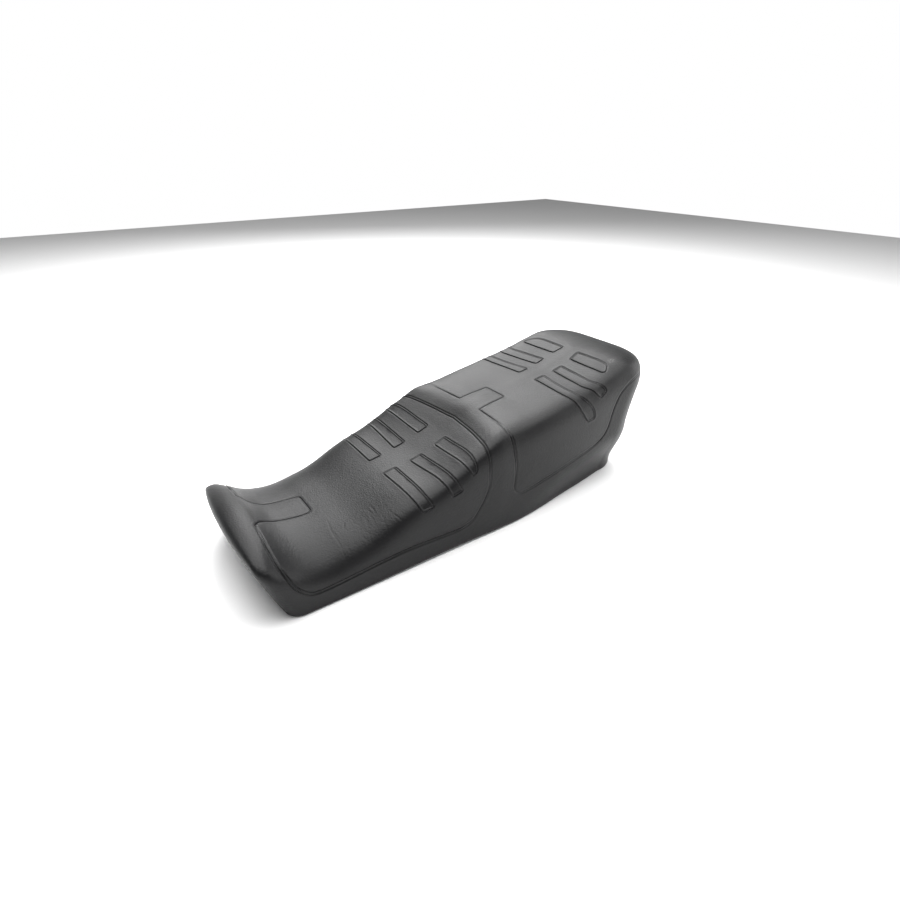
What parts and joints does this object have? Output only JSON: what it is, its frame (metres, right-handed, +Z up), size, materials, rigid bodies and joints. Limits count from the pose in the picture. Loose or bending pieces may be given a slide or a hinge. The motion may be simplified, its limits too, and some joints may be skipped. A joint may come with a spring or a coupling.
{
  "type": "motorcycle seat",
  "caption": "Dual motorcycle seat: moulded vinyl cover over foam and a plastic pan, with side hinges, latch striker, rubber buffers and a folding prop rod.",
  "frame": {"origin": "centre of the seat's box on the plane its hem stands on", "axes": "+X towards the front (tank) end, +Y to the rider's left, +Z up"},
  "size_m": [0.7308, 0.2634, 0.2165],
  "materials": {
    "vinyl": "black moulded vinyl with a fine leather grain, satin",
    "foam": "open-cell polyurethane foam, aged cream",
    "pan_plastic": "black moulded polypropylene, lightly textured",
    "rubber": "black moulded rubber, matt",
    "black_steel": "black painted pressed steel, semi-gloss",
    "zinc_steel": "zinc plated steel, dull bright"
  },
  "bodies": {
    "seat": {"seat_cover": "vinyl", "foam_cushion": "foam", "seat_pan": "pan_plastic", "front_buffer_left": "rubber", "front_buffer_right": "rubber", "middle_buffer_left": "rubber", "middle_buffer_right": "rubber", "rear_buffer_left": "rubber", "rear_buffer_right": "rubber", "front_hinge_pan_leaf": "black_steel", "front_hinge_pin": "zinc_steel", "front_hinge_ring": "zinc_steel", "front_hinge_nut_plate": "zinc_steel", "front_hinge_bolt_a": "zinc_steel", "front_hinge_bolt_b": "zinc_steel", "rear_hinge_pan_leaf": "black_steel", "rear_hinge_pin": "zinc_steel", "rear_hinge_ring": "zinc_steel", "rear_hinge_nut_plate": "zinc_steel", "rear_hinge_bolt_a": "zinc_steel", "rear_hinge_bolt_b": "zinc_steel", "latch_striker": "zinc_steel", "latch_nut_plate": "zinc_steel", "latch_bolt_a": "zinc_steel", "latch_bolt_b": "zinc_steel", "prop_bracket": "black_steel", "prop_pin": "zinc_steel", "prop_pin_ring": "zinc_steel", "prop_bracket_screw_a": "zinc_steel", "prop_bracket_screw_b": "zinc_steel", "prop_clip": "zinc_steel", "prop_clip_screw": "zinc_steel"},
    "front_frame_leaf": {"front_hinge_frame_leaf": "black_steel"},
    "rear_frame_leaf": {"rear_hinge_frame_leaf": "black_steel"},
    "prop": {"prop_rod": "zinc_steel", "prop_tip": "rubber"}
  },
  "joints": [
    {"name": "front_hinge", "type": "hinge", "parent": "seat", "child": "front_frame_leaf", "pos_m": [0.1971, -0.0978, 0.0137], "axis": [-1, 0, 0], "range_deg": [0, 75]},
    {"name": "rear_hinge", "type": "hinge", "parent": "seat", "child": "rear_frame_leaf", "pos_m": [-0.0146, -0.0978, 0.0137], "axis": [-1, 0, 0], "range_deg": [0, 75]},
    {"name": "prop_pivot", "type": "hinge", "parent": "seat", "child": "prop", "pos_m": [-0.0803, 0.0396, 0.07137], "axis": [0, 1, 0], "range_deg": [0, 95]}
  ],
  "couplings": [
    {"joint": "rear_hinge", "follows": "front_hinge", "ratio": 1}
  ]
}
